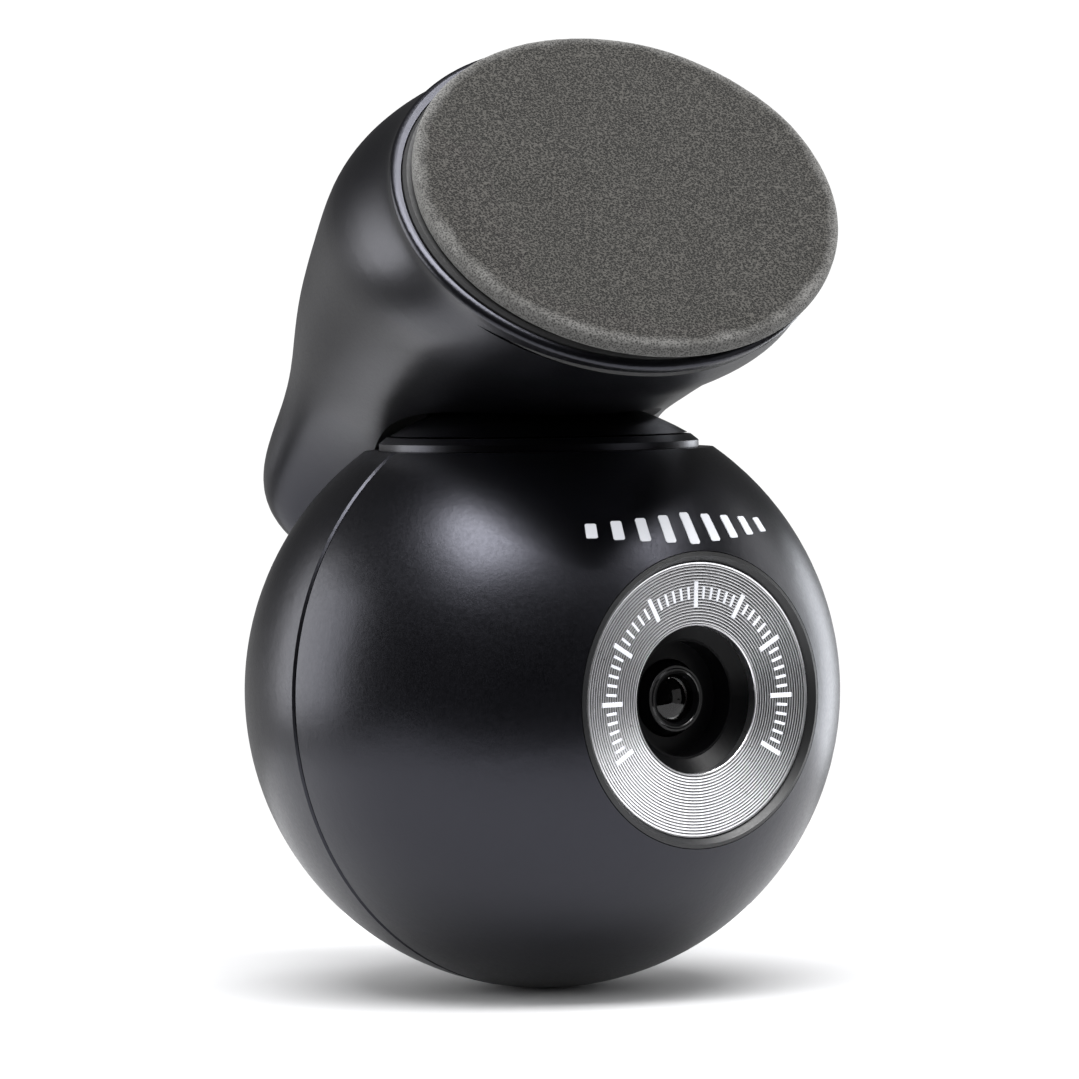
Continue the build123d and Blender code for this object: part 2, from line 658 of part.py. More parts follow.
with BuildPart() as sensor_flex:
    with BuildSketch(lens_profile):
        with BuildLine():
            Line((flex_front, sensor_plug_y - plug_half - 0.02), (flex_front, flex_low))
            ThreePointArc((flex_front, flex_low), (flex_front - flex_turn, flex_low - flex_turn),
                          (flex_rear, flex_low))
            Line((flex_rear, flex_low), (flex_rear, main_plug_y - plug_half - 0.02))
        trace(line_width=flex_t)
    extrude(amount=flex_half, both=True)
save("sensor_flex", sensor_flex)

lead_plug_y, lead_plug_half, lead_offset = 4.8, 2.1, -2.2
with BuildPart() as lead_connector:
    with BuildSketch(lens.offset(-main_board_half - 0.02)):
        with Locations((0, lead_plug_y)):
            Rectangle(6.4, 2 * lead_plug_half)
    extrude(amount=-2.9)
    chamfer(lead_connector.faces().sort_by(lens_axis)[0].edges(), 0.2)
save("lead_connector", lead_connector)


def lead(name, plane, points, bend):
    """A round lead along straight runs with rounded corners."""
    with BuildPart() as piece:
        with BuildLine(plane) as route:
            FilletPolyline(*points, radius=bend)
        with BuildSketch(Plane(route.wires()[0] @ 0, z_dir=route.wires()[0] % 0)) as section:
            Circle(lead_r)
        sweep(section.sketch, path=route.wires()[0])
    save(name, piece)


lead("ball_lead", lens_profile,
     [(0, 16.0), (0, 10.4), (lead_offset, 8.7), (lead_offset, lead_plug_y + lead_plug_half + 0.02)], 1.3)
lead("arm_lead", side,
     [(-6.4, 25.2, -4.7), (-11.4, 24.0, -4.7), (-16.0, 22.6, -2.2), (*from_top(lead_start, 25.4), 0),
      (*from_top(lead_start, tongue_out + 0.75), 0)], 1.0)

with BuildPart() as yoke_lead:
    with BuildLine(side) as lead_route:
        CenterArc((0, 0), lead_reach, 90 + lead_start, lead_turn - lead_start)
        JernArc(turn_start, (cos(radians(lead_turn)), sin(radians(lead_turn))), turn_r, -90 - lead_turn)
        Line((0, (lead_reach - turn_r) * cos(radians(lead_turn))), (0, cap_base + 0.1))
    with BuildSketch(Plane(lead_route.wires()[0] @ 0, z_dir=lead_route.wires()[0] % 0)):
        Circle(lead_r)
    sweep(path=lead_route.wires()[0])
save("yoke_lead", yoke_lead)
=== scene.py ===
import json
import math

import bmesh
import bpy
from mathutils import Matrix, Vector, noise


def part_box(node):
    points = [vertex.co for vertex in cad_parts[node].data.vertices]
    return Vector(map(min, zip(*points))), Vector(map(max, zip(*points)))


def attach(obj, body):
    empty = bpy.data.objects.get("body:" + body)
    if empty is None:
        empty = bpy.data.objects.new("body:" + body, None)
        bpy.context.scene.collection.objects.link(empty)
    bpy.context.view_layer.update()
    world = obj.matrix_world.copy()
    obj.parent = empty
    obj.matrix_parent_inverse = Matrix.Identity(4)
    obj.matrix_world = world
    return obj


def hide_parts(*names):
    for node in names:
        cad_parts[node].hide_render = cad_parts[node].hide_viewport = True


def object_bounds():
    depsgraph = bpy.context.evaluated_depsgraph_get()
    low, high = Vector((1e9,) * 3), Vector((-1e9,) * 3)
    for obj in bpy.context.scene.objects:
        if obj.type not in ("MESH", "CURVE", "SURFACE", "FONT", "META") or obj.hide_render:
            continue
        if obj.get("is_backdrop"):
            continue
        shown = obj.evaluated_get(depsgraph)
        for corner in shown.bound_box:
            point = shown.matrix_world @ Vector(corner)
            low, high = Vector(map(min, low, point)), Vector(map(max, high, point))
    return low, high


# The looks of a small window-mounted dash camera: black moulded shells, a grooved metal
# trim ring, lens glass and the adhesive foam pad. Metres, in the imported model's frame.

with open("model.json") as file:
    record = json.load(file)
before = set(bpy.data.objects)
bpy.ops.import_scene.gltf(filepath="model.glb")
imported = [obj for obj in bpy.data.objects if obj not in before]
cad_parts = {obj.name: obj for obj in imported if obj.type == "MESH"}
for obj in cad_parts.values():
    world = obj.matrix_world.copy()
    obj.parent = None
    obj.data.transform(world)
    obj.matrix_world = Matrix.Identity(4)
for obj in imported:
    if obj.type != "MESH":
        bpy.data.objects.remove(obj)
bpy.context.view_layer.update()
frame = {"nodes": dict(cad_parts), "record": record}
nodes = frame["nodes"]
mm = 0.001

# ---------------------------------------------------------------- places, from the CAD
record = frame["record"]
swivel = next(j for j in record["behaviour"]["joints"] if j["name"] == "swivel")
ball_centre = Vector(swivel["pos_m"])
ball_r = ball_centre.z - min(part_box("front_shell")[0].z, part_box("rear_shell")[0].z)


def middle(node):
    low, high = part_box(node)
    return (low + high) / 2


lens_dir = (middle("front_lens") - middle("rear_lens")).normalized()
lens_side = Vector((0, 0, 1)).cross(lens_dir).normalized()
pad_mount = next(m for m in record["mounts"] if m["name"] == "adhesive_face")
pad_normal = Vector(pad_mount["axis"]).normalized()
pad_centre = Vector(pad_mount["pos_m"])


def axes_matrix(origin, x_axis, z_axis):
    """Placement with its Z along z_axis and its X along x_axis."""
    y_axis = z_axis.cross(x_axis)
    turn = Matrix((x_axis, y_axis, z_axis)).transposed().to_4x4()
    return Matrix.Translation(origin) @ turn


lens_frame = axes_matrix(ball_centre, lens_side, lens_dir)
pad_frame = axes_matrix(pad_centre, Vector((1, 0, 0)), pad_normal)


# ---------------------------------------------------------------- materials
class Nodes:
    """A node material under construction, with a Principled shader."""

    def __init__(self, name):
        self.material = bpy.data.materials.new(name)
        self.material.use_nodes = True
        self.tree = self.material.node_tree
        self.shader = self.tree.nodes["Principled BSDF"]
        self.place = self.tree.nodes.new("ShaderNodeTexCoord").outputs["Object"]

    def add(self, kind, **values):
        node = self.tree.nodes.new(kind)
        for key, value in values.items():
            setattr(node, key, value)
        return node

    def link(self, a, b):
        self.tree.links.new(a, b)

    def set(self, **values):
        for key, value in values.items():
            self.shader.inputs[key.replace("_", " ")].default_value = value

    def noise(self, size, detail, roughness=0.5):
        """Noise with features about this many millimetres across."""
        node = self.add("ShaderNodeTexNoise")
        node.inputs["Scale"].default_value = 1 / (size * mm)
        node.inputs["Detail"].default_value = detail
        node.inputs["Roughness"].default_value = roughness
        self.link(self.place, node.inputs["Vector"])
        return node.outputs["Fac"]

    def ramp(self, value, stops):
        node = self.add("ShaderNodeValToRGB")
        elements = node.color_ramp.elements
        while len(elements) < len(stops):
            elements.new(0.5)
        for element, (position, colour) in zip(elements, stops):
            element.position = position
            element.color = (*colour, 1)
        self.link(value, node.inputs["Fac"])
        return node.outputs["Color"]

    def spread(self, value, low, high, from_low=0.3, from_high=0.7):
        node = self.add("ShaderNodeMapRange")
        node.inputs["From Min"].default_value = from_low
        node.inputs["From Max"].default_value = from_high
        node.inputs["To Min"].default_value = low
        node.inputs["To Max"].default_value = high
        self.link(value, node.inputs["Value"])
        return node.outputs["Result"]

    def bump(self, value, depth, strength=1.0, under=None):
        """Relief this many millimetres deep; under is a bump it lies on."""
        node = self.add("ShaderNodeBump")
        node.inputs["Strength"].default_value = strength
        node.inputs["Distance"].default_value = depth * mm
        self.link(value, node.inputs["Height"])
        if under is not None:
            self.link(under, node.inputs["Normal"])
        return node.outputs["Normal"]


def moulded_plastic(name, dark, light, rough_low, rough_high, grain, depth, specular=0.5,
                    tint=(1, 1, 1)):
    """Moulded plastic: slight shade changes, fine grain in the relief and the gloss."""
    m = Nodes(name)
    m.link(m.ramp(m.noise(7, 4), [(0.35, dark), (0.65, light)]), m.shader.inputs["Base Color"])
    fine = m.noise(grain, 3, 0.6)
    m.link(m.spread(fine, rough_low, rough_high), m.shader.inputs["Roughness"])
    broad = m.bump(m.noise(grain * 3.2, 2, 0.5), depth * 1.3)
    m.link(m.bump(fine, depth, under=broad), m.shader.inputs["Normal"])
    m.set(IOR=1.5, Specular_IOR_Level=specular, Specular_Tint=(*tint, 1))
    return m.material


def metal(name, colour, rough_low, rough_high, scratch):
    """Bare metal with fine wear, scratch millimetres across, in its gloss and relief."""
    m = Nodes(name)
    darker = tuple(c * 0.93 for c in colour)
    m.link(m.ramp(m.noise(1.2, 4), [(0.35, darker), (0.65, colour)]), m.shader.inputs["Base Color"])
    fine = m.noise(scratch, 4, 0.65)
    m.link(m.spread(fine, rough_low, rough_high), m.shader.inputs["Roughness"])
    m.link(m.bump(fine, 0.0006), m.shader.inputs["Normal"])
    m.set(Metallic=1.0)
    return m.material


def glass(name, tint, edge=(0.86, 0.9, 0.95)):
    """Polished glass, tinted where it is seen face on, its colour turning to edge where it is seen edge-on:
    a painted reflection.
    """
    m = Nodes(name)
    layer = m.add("ShaderNodeLayerWeight")
    layer.inputs["Blend"].default_value = 0.35
    # Painted reflection: the colour turns from tint to edge as the glass is seen more edge-on.
    m.link(m.ramp(layer.outputs["Facing"], [(0.0, tint), (0.8, edge)]), m.shader.inputs["Base Color"])
    m.link(m.spread(m.noise(0.8, 3), 0.0, 0.015), m.shader.inputs["Roughness"])
    m.set(IOR=1.4, Transmission_Weight=1.0, Specular_IOR_Level=0.3)
    return m.material


shell_plastic = moulded_plastic("shell_plastic", (0.0006, 0.0006, 0.0009), (0.0012, 0.0012, 0.0016),
                                0.29, 0.36, 0.22, 0.005, specular=0.47, tint=(0.83, 0.84, 1.0))
arm_plastic = moulded_plastic("arm_plastic", (0.0005, 0.0005, 0.0008), (0.001, 0.001, 0.0014),
                              0.29, 0.36, 0.16, 0.003, specular=0.47, tint=(0.83, 0.84, 1.0))
plate_plastic = moulded_plastic("plate_plastic", (0.004, 0.004, 0.0046), (0.009, 0.009, 0.0098),
                                0.5, 0.66, 0.18, 0.014)
bezel_plastic = moulded_plastic("bezel_plastic", (0.004, 0.0042, 0.005), (0.0065, 0.0068, 0.008),
                                0.4, 0.5, 0.12, 0.002)
lens_black = moulded_plastic("lens_black", (0.0008, 0.0008, 0.001), (0.0014, 0.0014, 0.0017),
                             0.3, 0.42, 0.1, 0.001, specular=0.1)
retainer_black = moulded_plastic("retainer_black", (0.001, 0.001, 0.0012), (0.002, 0.002, 0.0022),
                                 0.12, 0.2, 0.1, 0.0005)
washer_plastic = moulded_plastic("washer_plastic", (0.012, 0.012, 0.013), (0.02, 0.02, 0.021),
                                 0.4, 0.5, 0.2, 0.002)
connector_plastic = moulded_plastic("connector_plastic", (0.55, 0.53, 0.46), (0.68, 0.66, 0.6),
                                    0.4, 0.55, 0.15, 0.002)
chip_black = moulded_plastic("chip_black", (0.012, 0.012, 0.013), (0.022, 0.022, 0.024),
                             0.45, 0.6, 0.08, 0.002)
lead_jacket = moulded_plastic("lead_jacket", (0.008, 0.008, 0.009), (0.014, 0.014, 0.015),
                              0.45, 0.6, 0.12, 0.002)
flex_film = moulded_plastic("flex_film", (0.32, 0.13, 0.03), (0.42, 0.19, 0.05), 0.25, 0.4, 0.3, 0.001)
trim_metal = metal("trim_metal", (0.9, 0.9, 0.925), 0.27, 0.33, 0.5)
# Dark metal for the trim ring's groove faces: painted shade in the grooves.
groove_shade_metal = metal("groove_shade_metal", (0.12, 0.12, 0.13), 0.4, 0.5, 0.3)
mark_paint = moulded_plastic("mark_paint", (0.42, 0.43, 0.46), (0.52, 0.53, 0.56), 0.32, 0.45, 0.08, 0.001)
screw_steel = metal("screw_steel", (0.5, 0.5, 0.52), 0.25, 0.42, 0.2)
steel = metal("steel", (0.62, 0.62, 0.64), 0.2, 0.35, 0.25)
socket_metal = metal("socket_metal", (0.66, 0.65, 0.63), 0.22, 0.36, 0.3)
# The front glass is near black face on: painted shade standing in for the dark inside of the lens, with a
# dim painted reflection edge-on.
shaded_front_glass = glass("shaded_front_glass", (0.03, 0.028, 0.027), (0.12, 0.12, 0.13))
inner_glass = glass("inner_glass", (0.3, 0.2, 0.11))
filter_glass = glass("filter_glass", (0.25, 0.5, 0.55))


def circuit_board():
    """Solder mask over copper tracks."""
    m = Nodes("circuit_board")
    tracks = m.add("ShaderNodeTexVoronoi", feature="DISTANCE_TO_EDGE", distance="CHEBYCHEV")
    tracks.inputs["Scale"].default_value = 1 / (1.3 * mm)
    m.link(m.place, tracks.inputs["Vector"])
    edges = m.spread(tracks.outputs["Distance"], 0.0, 1.0, 0.03, 0.08)
    m.link(m.ramp(edges, [(0.0, (0.012, 0.09, 0.035)), (1.0, (0.006, 0.045, 0.018))]),
           m.shader.inputs["Base Color"])
    m.link(m.spread(m.noise(0.6, 3), 0.28, 0.42), m.shader.inputs["Roughness"])
    m.link(m.bump(edges, 0.02), m.shader.inputs["Normal"])
    return m.material


def sensor_surface():
    """Image sensor: a dark, slightly blotchy window under a clear coat."""
    m = Nodes("sensor_surface")
    m.link(m.ramp(m.noise(1.8, 2), [(0.3, (0.02, 0.03, 0.05)), (0.7, (0.05, 0.035, 0.06))]),
           m.shader.inputs["Base Color"])
    m.link(m.spread(m.noise(0.4, 3), 0.08, 0.16), m.shader.inputs["Roughness"])
    m.set(Metallic=0.4, Coat_Weight=1.0, Coat_Roughness=0.03)
    return m.material


def foam_surface(edge_from, edge_to):
    """Closed-cell foam: open pores cut by the knife, and a paler colour on its rolled edge."""
    m = Nodes("foam")
    pores = m.add("ShaderNodeTexVoronoi", feature="F1")
    pores.inputs["Scale"].default_value = 1 / (0.13 * mm)
    m.link(m.place, pores.inputs["Vector"])
    cells = m.spread(pores.outputs["Distance"], 0.0, 1.0, 0.1, 0.8)
    speckle = m.noise(0.09, 3, 0.8)
    mix = m.add("ShaderNodeMix", data_type="FLOAT")
    mix.inputs["Factor"].default_value = 0.7
    m.link(cells, mix.inputs["A"])
    m.link(speckle, mix.inputs["B"])
    face = m.ramp(mix.outputs["Result"], [(0.36, (0.0008, 0.0008, 0.0007)), (0.5, (0.0066, 0.0062, 0.0056)),
                                          (0.64, (0.031, 0.0296, 0.027))])
    pale_rim = m.ramp(mix.outputs["Result"], [(0.34, (0.012, 0.0118, 0.0114)), (0.6, (0.075, 0.0738, 0.0715))])
    flat = m.add("ShaderNodeVectorMath", operation="MULTIPLY")
    flat.inputs[1].default_value = (1, 1, 0)
    m.link(m.place, flat.inputs[0])
    reach = m.add("ShaderNodeVectorMath", operation="LENGTH")
    m.link(flat.outputs["Vector"], reach.inputs[0])
    edge_wander = 0.0012
    wander = m.add("ShaderNodeMath", operation="MULTIPLY_ADD")
    wander.inputs[1].default_value = edge_wander
    m.link(m.noise(2.5, 3), wander.inputs[0])
    m.link(reach.outputs["Value"], wander.inputs[2])
    # The colour turns paler over the rolled rim of the disc.
    edge = m.spread(wander.outputs["Value"], 0.0, 1.0,
                    edge_from + edge_wander / 2, edge_to + edge_wander / 2)
    colour = m.add("ShaderNodeMix", data_type="RGBA")
    m.link(edge, colour.inputs["Factor"])
    m.link(face, colour.inputs["A"])
    m.link(pale_rim, colour.inputs["B"])
    m.link(colour.outputs["Result"], m.shader.inputs["Base Color"])
    m.link(m.spread(speckle, 0.8, 0.98), m.shader.inputs["Roughness"])
    m.link(m.bump(mix.outputs["Result"], 0.06, 0.8, under=m.bump(m.noise(1.5, 3), 0.04)),
           m.shader.inputs["Normal"])
    m.set(Specular_IOR_Level=0.12, Sheen_Weight=0.12, Sheen_Roughness=0.45)
    m.shader.inputs["Sheen Tint"].default_value = (0.9, 0.9, 0.88, 1)
    return m.material


foam_local = [pad_frame.inverted() @ v.co for v in nodes["foam_pad"].data.vertices]
foam_x = (max(p.x for p in foam_local) + min(p.x for p in foam_local)) / 2
foam_r = (max(p.x for p in foam_local) - min(p.x for p in foam_local)) / 2
foam_back = min(p.z for p in foam_local)
foam_front = max(p.z for p in foam_local)
foam = foam_surface(foam_r - 0.85 * mm, foam_r - 0.1 * mm)
finishes = {
    shell_plastic: ["front_shell", "rear_shell"],
    arm_plastic: ["arm_shell", "swivel_yoke", "swivel_collar"],
    plate_plastic: ["mount_plate"],
    bezel_plastic: ["lens_bezel", "hinge_cap"],
    lens_black: ["lens_hood", "lens_barrel", "lens_holder", "lens_spacer"],
    washer_plastic: ["hinge_washers"],
    connector_plastic: ["flex_connectors", "lead_connector", "socket_tongue"],
    chip_black: ["video_chip", "memory_chip"],
    lead_jacket: ["arm_lead", "yoke_lead", "ball_lead"],
    flex_film: ["sensor_flex"],
    trim_metal: ["trim_ring"],
    screw_steel: ["plate_screws", "shell_screws", "board_screws", "retaining_clip"],
    steel: ["hinge_pin", "friction_washer"],
    socket_metal: ["socket_shell"],
    shaded_front_glass: ["front_lens"],
    inner_glass: ["middle_lens", "rear_lens"],
    filter_glass: ["ir_filter"],
    circuit_board(): ["socket_board", "sensor_board", "main_board"],
    sensor_surface(): ["image_sensor"],
    foam: ["foam_pad"],
}
for finish, names in finishes.items():
    for name in names:
        data = nodes[name].data
        data.materials.clear()
        data.materials.append(finish)


# ---------------------------------------------------------------- mesh building
def mesh_object(name, bm, material, placement, body, smooth_angle=math.radians(35)):
    bmesh.ops.recalc_face_normals(bm, faces=bm.faces)
    data = bpy.data.meshes.new(name)
    bm.to_mesh(data)
    bm.free()
    data.materials.append(material)
    data.shade_smooth()
    data.set_sharp_from_angle(angle=smooth_angle)
    piece = bpy.data.objects.new(name, data)
    bpy.context.scene.collection.objects.link(piece)
    piece.matrix_world = placement
    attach(piece, body)
    return piece


def turned(name, profile, segments, material, placement, body):
    """A closed profile of (radius, height) turned round Z."""
    bm = bmesh.new()
    rings = []
    for step in range(segments):
        angle = math.tau * step / segments
        rings.append([bm.verts.new((r * math.cos(angle), r * math.sin(angle), z)) for r, z in profile])
    for step in range(segments):
        here, following = rings[step], rings[(step + 1) % segments]
        for i in range(len(profile)):
            j = (i + 1) % len(profile)
            bm.faces.new((here[i], following[i], following[j], here[j]))
    return mesh_object(name, bm, material, placement, body)


# ---------------------------------------------------------------- trim ring
# The metal ring round the lens, turned with fine concentric grooves in its dished face.
def radii(node, direction, origin):
    """Least and greatest distance from an axis, and least and greatest place along it."""
    far, along = [], []
    for vertex in nodes[node].data.vertices:
        offset = vertex.co - origin
        height = offset.dot(direction)
        along.append(height)
        far.append((offset - direction * height).length)
    return min(far), max(far), min(along), max(along)


trim_in, trim_out, trim_back, trim_front = radii("trim_ring", lens_dir, ball_centre)
groove_count = 20
trim_dish = 0.18 * mm
face_in, face_out = trim_in + 0.12 * mm, trim_out - 0.14 * mm
groove_depth = 0.085 * mm


def face_height(r):
    return trim_front - trim_dish * (face_out - r) / (face_out - face_in)


# One pitch, going inwards: a land that leans outwards, then a narrow groove. Each pair is
# a share of the pitch and a share of the groove's depth.
land_and_groove = ((0.0, 0.34), (0.16, 0.2), (0.32, 0.09), (0.48, 0.02), (0.62, 0), (0.7, 0.1),
                   (0.76, 0.9), (0.86, 1.0), (0.96, 0.9))
pitch = (face_out - face_in) / groove_count
trim_profile = [(trim_out, trim_back), (trim_out, trim_front - 0.07 * mm),
                (trim_out - 0.05 * mm, trim_front)]
for groove in range(groove_count):
    outer = face_out - groove * pitch
    for share, depth in land_and_groove:
        r = outer - share * pitch
        trim_profile.append((r, face_height(r) - depth * groove_depth))
trim_profile += [(face_in, face_height(face_in)), (trim_in + 0.04 * mm, face_height(trim_in)),
                 (trim_in, face_height(trim_in) - 0.05 * mm), (trim_in, trim_back)]
trim_piece = turned("trim_ring_grooved", trim_profile, 288, trim_metal, lens_frame, "ball")
# The faces down in the grooves take the darker metal: painted shade in the grooves.
trim_piece.data.materials.append(groove_shade_metal)
groove_wall = 0.4 * groove_depth       # faces deeper than this belong to a groove
face_reach = 0.32 * mm                 # no groove lies deeper than this; the ring's sides do
for face in trim_piece.data.polygons:
    centre = face.center
    land = face_height(math.hypot(centre.x, centre.y))
    if trim_front - face_reach < centre.z < land - groove_wall:
        face.material_index = 1
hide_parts("trim_ring")

# A plain scale of raised ticks lies over the grooves.
tick_start, tick_step, tick_count, long_every = 210, 5, 49, 6     # degrees and counts
long_radii, short_radii = (5.75 * mm, 7.35 * mm), (6.25 * mm, 7.05 * mm)
long_half, short_half = 0.15 * mm, 0.09 * mm
tick_sink, tick_rise, tick_taper = 0.05 * mm, 0.025 * mm, 0.999
bm = bmesh.new()
for index in range(tick_count):
    angle = math.radians(tick_start - index * tick_step)
    long_tick = index % long_every == 0
    inner_r, outer_r = long_radii if long_tick else short_radii
    half = long_half if long_tick else short_half
    out = Vector((math.cos(angle), math.sin(angle), 0))
    across = Vector((-out.y, out.x, 0))
    corners = [out * r + across * w for r, w in
               ((inner_r, -half), (outer_r, -half), (outer_r, half), (inner_r, half))]
    low = [bm.verts.new((c.x, c.y, face_height(c.length) - tick_sink)) for c in corners]
    high = [bm.verts.new((c.x * tick_taper, c.y * tick_taper, face_height(c.length) + tick_rise))
            for c in corners]
    bm.faces.new(high)
    bm.faces.new(low[::-1])
    for i in range(4):
        bm.faces.new((low[i], low[(i + 1) % 4], high[(i + 1) % 4], high[i]))
bmesh.ops.bevel(bm, geom=bm.edges[:], offset=0.012 * mm, segments=1, affect="EDGES")
ticks = mesh_object("trim_ticks", bm, mark_paint, lens_frame, "ball")


# A thin retaining ring clamps the front lens in its barrel.
barrel_r = radii("front_lens", lens_dir, ball_centre)[1]
barrel_front = radii("lens_barrel", lens_dir, ball_centre)[3]
ring_section = ((0.02, 0.01), (0.02, 0.09), (0.06, 0.13), (0.14, 0.13), (0.22, 0.06), (0.34, 0.05),
                (0.38, 0.01))          # millimetres out from the lens and up from the barrel
ring_profile = [(barrel_r + out * mm, barrel_front + up * mm) for out, up in ring_section]
retainer = turned("lens_retainer", ring_profile, 128, retainer_black, lens_frame, "ball")


# ---------------------------------------------------------------- generic mark on the ball
def on_ball(azimuth, height, lift):
    """A point over the ball's surface: degrees round from the lens, height above the centre."""
    turn = Matrix.Rotation(math.radians(azimuth), 3, "Z")
    level_r = math.sqrt(ball_r * ball_r - height * height)
    flat = turn @ (lens_dir * level_r)
    point = Vector((flat.x, flat.y, height))
    return ball_centre + point * (1 + lift / ball_r)


def ball_strip(bm, outline):
    """A thin raised mark whose outline is given as (degrees, height) pairs."""
    tops = [bm.verts.new(on_ball(a, h, mark_lift)) for a, h in outline]
    feet = [bm.verts.new(on_ball(a, h, -mark_sink)) for a, h in outline]
    bm.faces.new(tops)
    for i in range(len(outline)):
        j = (i + 1) % len(outline)
        bm.faces.new((tops[i], tops[j], feet[j], feet[i]))


def squared(value, fullness):
    """A sine or cosine pushed outwards, which turns an ellipse into a rounded bar."""
    return math.copysign(min(1, abs(value) * fullness), value)


mark_height = 10.6 * mm
mark_lift, mark_sink = 0.06 * mm, 0.05 * mm
bars, bar_step, bar_half_width = 9, 6.1, 1.3               # the last two in degrees
middle_half_height, height_step = 0.95 * mm, 0.13 * mm     # bars get shorter outwards
bm = bmesh.new()
for bar in range(bars):
    from_middle = bar - (bars - 1) / 2
    half_height = middle_half_height - height_step * abs(from_middle)
    outline = []
    for step in range(24):
        t = math.tau * step / 24
        outline.append((from_middle * bar_step + bar_half_width * squared(math.cos(t), 1.5),
                        mark_height + half_height * squared(math.sin(t), 1.25)))
    ball_strip(bm, outline)
mark = mesh_object("ball_mark", bm, mark_paint, Matrix.Identity(4), "ball")


# ---------------------------------------------------------------- foam pad
def foam_piece():
    """A die-cut foam disc: soft rolled edge, slightly uneven outline, fine open pores."""
    bm = bmesh.new()
    around = 420
    edge = 0.42 * mm
    outline_wave = 0.0035              # share of the radius
    swell_height, pore_height, face_sink = 0.05 * mm, 0.022 * mm, 0.04 * mm
    flat_r = foam_r - edge
    rows = [(0.0, foam_front)]
    steps = 64
    rows += [(flat_r * (k / steps) ** 0.9, foam_front) for k in range(1, steps + 1)]
    for k in range(1, 9):
        t = math.pi / 2 * k / 8
        rows.append((flat_r + edge * math.sin(t), foam_front - edge * (1 - math.cos(t))))
    rows += [(foam_r, foam_back + 0.3 * mm), (foam_r - 0.08 * mm, foam_back + 0.1 * mm),
             (foam_r - 0.25 * mm, foam_back)]
    rings = []
    for r, z in rows[1:]:
        ring = []
        for s in range(around):
            a = math.tau * s / around
            wander = noise.noise(Vector((math.cos(a) * 2.2, math.sin(a) * 2.2, 3.1)))
            wave = 1 + outline_wave * wander * (r / foam_r) ** 4
            x, y = r * wave * math.cos(a), r * wave * math.sin(a)
            swell = swell_height * noise.noise(Vector((x, y, 0)) * (0.25 / mm) + Vector((7, 1, 4)))
            pores = pore_height * noise.noise(Vector((x, y, z)) * (3.2 / mm))
            # The face and its rolled edge are uneven. The stuck side stays flat.
            height = z + (swell + pores - face_sink if z > foam_back + 0.4 * mm else 0)
            ring.append(bm.verts.new((x, y, height)))
        rings.append(ring)
    top = bm.verts.new((0, 0, foam_front - 0.03 * mm))
    bottom = bm.verts.new((0, 0, foam_back))
    for s in range(around):
        n = (s + 1) % around
        bm.faces.new((top, rings[0][s], rings[0][n]))
        bm.faces.new((bottom, rings[-1][n], rings[-1][s]))
        for a, b in zip(rings, rings[1:]):
            bm.faces.new((a[s], b[s], b[n], a[n]))
    place = pad_frame @ Matrix.Translation((foam_x, 0, 0))
    return mesh_object("foam_disc", bm, foam, place, "mount", math.radians(80))


foam_disc = foam_piece()
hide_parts("foam_pad")

# ---------------------------------------------------------------- studio
scene = bpy.context.scene
floor_z = ball_centre.z - ball_r
floor_heading = -18                    # degrees, which lays the floor sheet square to the view
light_aim_height = 8 * mm              # the lights shine at a point this far over the ball's centre


def floor_surface():
    """Pale sheet."""
    m = Nodes("floor")
    m.link(m.ramp(m.noise(40, 3), [(0.3, (0.365, 0.366, 0.372)), (0.7, (0.378, 0.379, 0.385))]),
           m.shader.inputs["Base Color"])
    m.link(m.spread(m.noise(20, 3), 0.6, 0.7), m.shader.inputs["Roughness"])
    m.set(Specular_IOR_Level=0.25)
    return m.material


def floor_sheet(front, back, half_width):
    """A sheet under the object, square to the view."""
    bm = bmesh.new()
    corners = [(-half_width, -front), (half_width, -front), (half_width, back), (-half_width, back)]
    turn = Matrix.Rotation(math.radians(floor_heading), 3, "Z")
    verts = []
    for x, y in corners:
        verts.append(bm.verts.new(turn @ Vector((x, y, 0))))
    bm.faces.new(verts)
    data = bpy.data.meshes.new("floor")
    bm.to_mesh(data)
    bm.free()
    data.materials.append(floor_surface())
    floor = bpy.data.objects.new("floor", data)
    floor.location = (ball_centre.x, ball_centre.y, floor_z)
    scene.collection.objects.link(floor)
    floor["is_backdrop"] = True


floor_sheet(front=0.06, back=0.055, half_width=0.075)


def softbox(name, direction, distance, width, height, radiance, colour=(1, 1, 1)):
    """A rectangular light that shines on the object from this direction."""
    light = bpy.data.lights.new(name, "AREA")
    light.shape = "RECTANGLE"
    light.size, light.size_y = width, height
    light.energy = radiance * math.pi * width * height
    light.color = colour
    lamp = bpy.data.objects.new(name, light)
    scene.collection.objects.link(lamp)
    aim = Vector(direction).normalized()
    lamp.location = ball_centre + Vector((0, 0, light_aim_height)) + aim * distance
    lamp.rotation_mode = "QUATERNION"
    lamp.rotation_quaternion = aim.to_track_quat("Z", "Y")


# ---------------------------------------------------------------- camera
view_heading, view_pitch, view_roll = -18.02, 87.97, -0.83
camera_place = Vector((-0.000185, 0.009593, 0.418))        # right, up and back from the ball
camera_turn = (Matrix.Rotation(math.radians(view_heading), 4, "Z")
               @ Matrix.Rotation(math.radians(view_pitch), 4, "X")
               @ Matrix.Rotation(math.radians(view_roll), 4, "Z"))
camera = bpy.data.objects.new("camera", bpy.data.cameras.new("camera"))
scene.collection.objects.link(camera)
camera.data.lens = 218.36
camera.data.sensor_width = 36.0
camera.data.clip_start, camera.data.clip_end = 0.01, 20
camera.matrix_world = Matrix.Translation(ball_centre + camera_turn.to_3x3() @ camera_place) @ camera_turn
scene.camera = camera


def seen(right, up, toward):
    """A direction given from the photographer's place: right, up, towards them."""
    return camera_turn.to_3x3() @ Vector((right, up, toward))


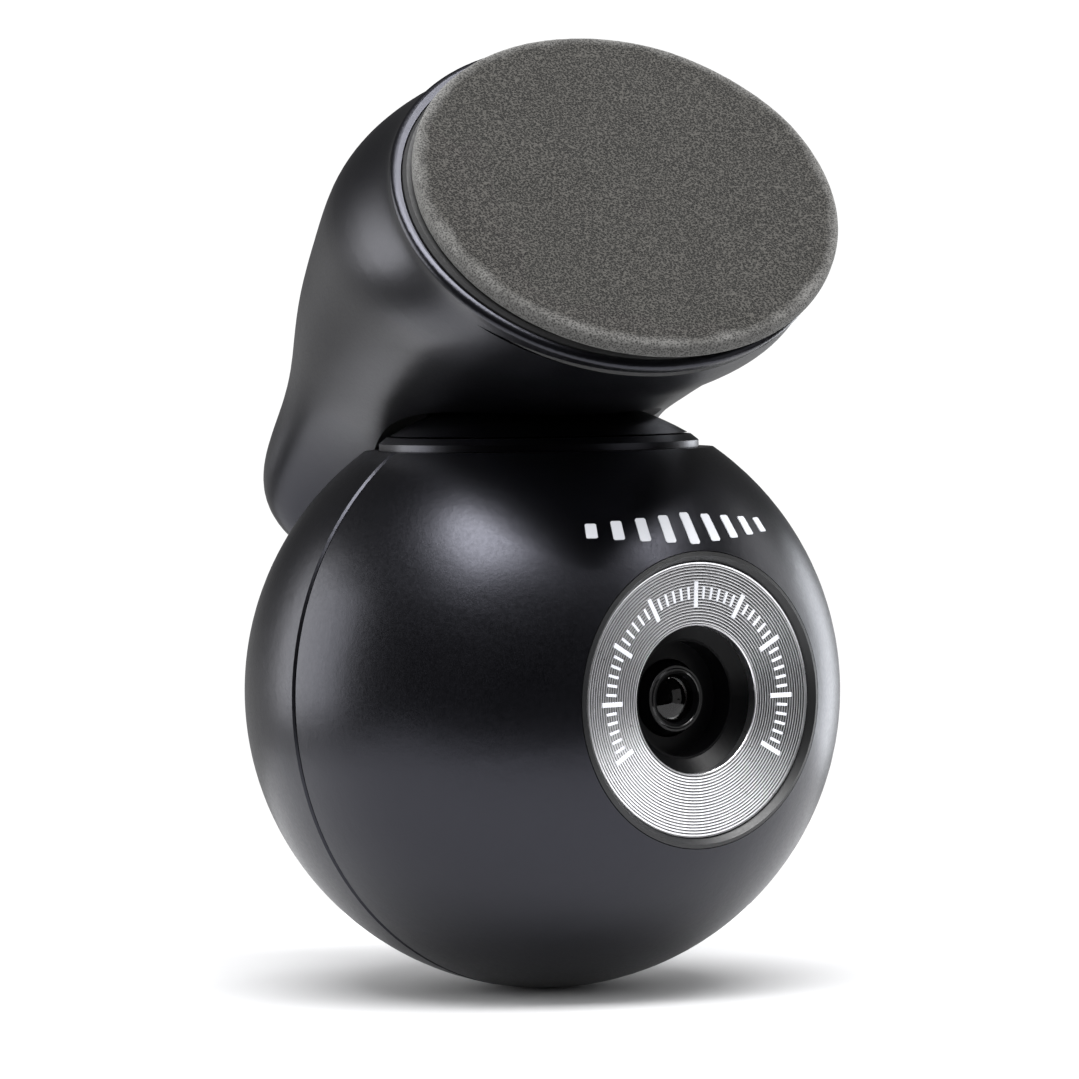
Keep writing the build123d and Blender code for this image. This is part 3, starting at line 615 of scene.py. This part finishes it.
softbox("top_softbox", seen(0.06, 0.945, 0.32), 0.45, 0.6, 0.25, 17.0)
softbox("left_softbox", seen(-0.96, 0.17, -0.2), 0.5, 0.34, 0.32, 4.2)
softbox("right_strip", seen(0.62, -0.08, -0.78), 0.5, 0.17, 0.36, 4.8, (0.93, 0.96, 1.0))
softbox("right_limb_card", seen(0.8, 0.4, -0.45), 0.5, 0.2, 0.2, 1.8)
softbox("right_card", seen(0.92, 0.0, 0.38), 0.5, 0.26, 0.3, 0.6)

world = bpy.data.worlds.new("studio")
scene.world = world
world.use_nodes = True
tree = world.node_tree
tree.nodes.clear()


def world_node(kind, **values):
    node = tree.nodes.new(kind)
    for key, value in values.items():
        setattr(node, key, value)
    return node


def direction_fade(direction, from_range, to_range):
    """A smooth change with how far a ray looks in this direction."""
    along = world_node("ShaderNodeVectorMath", operation="DOT_PRODUCT")
    tree.links.new(place.outputs["Generated"], along.inputs[0])
    along.inputs[1].default_value = direction
    fade = world_node("ShaderNodeMapRange", interpolation_type="SMOOTHSTEP")
    fade.inputs["From Min"].default_value, fade.inputs["From Max"].default_value = from_range
    fade.inputs["To Min"].default_value, fade.inputs["To Max"].default_value = to_range
    tree.links.new(along.outputs["Value"], fade.inputs["Value"])
    return fade.outputs["Result"]


def white_background(strength=1.0):
    background = world_node("ShaderNodeBackground")
    background.inputs["Color"].default_value = (1, 1, 1, 1)
    background.inputs["Strength"].default_value = strength
    return background


def shader_mix(factor, first, second):
    mix = world_node("ShaderNodeMixShader")
    tree.links.new(factor, mix.inputs["Fac"])
    tree.links.new(first, mix.inputs[1])
    tree.links.new(second, mix.inputs[2])
    return mix.outputs["Shader"]


# Reflections see a dark studio with a dim wall low down behind the object. Diffuse light is
# even, and the camera sees white.
place = world_node("ShaderNodeTexCoord")
paths = world_node("ShaderNodeLightPath")
wall = world_node("ShaderNodeMath", operation="MULTIPLY")
tree.links.new(direction_fade(seen(0, 0, -1), (0.1, 0.7), (0.005, 0.45)), wall.inputs[0])
tree.links.new(direction_fade((0, 0, 1), (-0.1, 0.2), (1.0, 0.15)), wall.inputs[1])
reflected = white_background()
tree.links.new(wall.outputs["Value"], reflected.inputs["Strength"])
even = white_background(1.85)
backdrop = white_background(1.05)
surroundings = shader_mix(paths.outputs["Is Diffuse Ray"], reflected.outputs["Background"],
                          even.outputs["Background"])
surroundings = shader_mix(paths.outputs["Is Camera Ray"], surroundings, backdrop.outputs["Background"])
output = world_node("ShaderNodeOutputWorld")
tree.links.new(surroundings, output.inputs["Surface"])

scene.view_settings.view_transform = "Standard"

low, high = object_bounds()
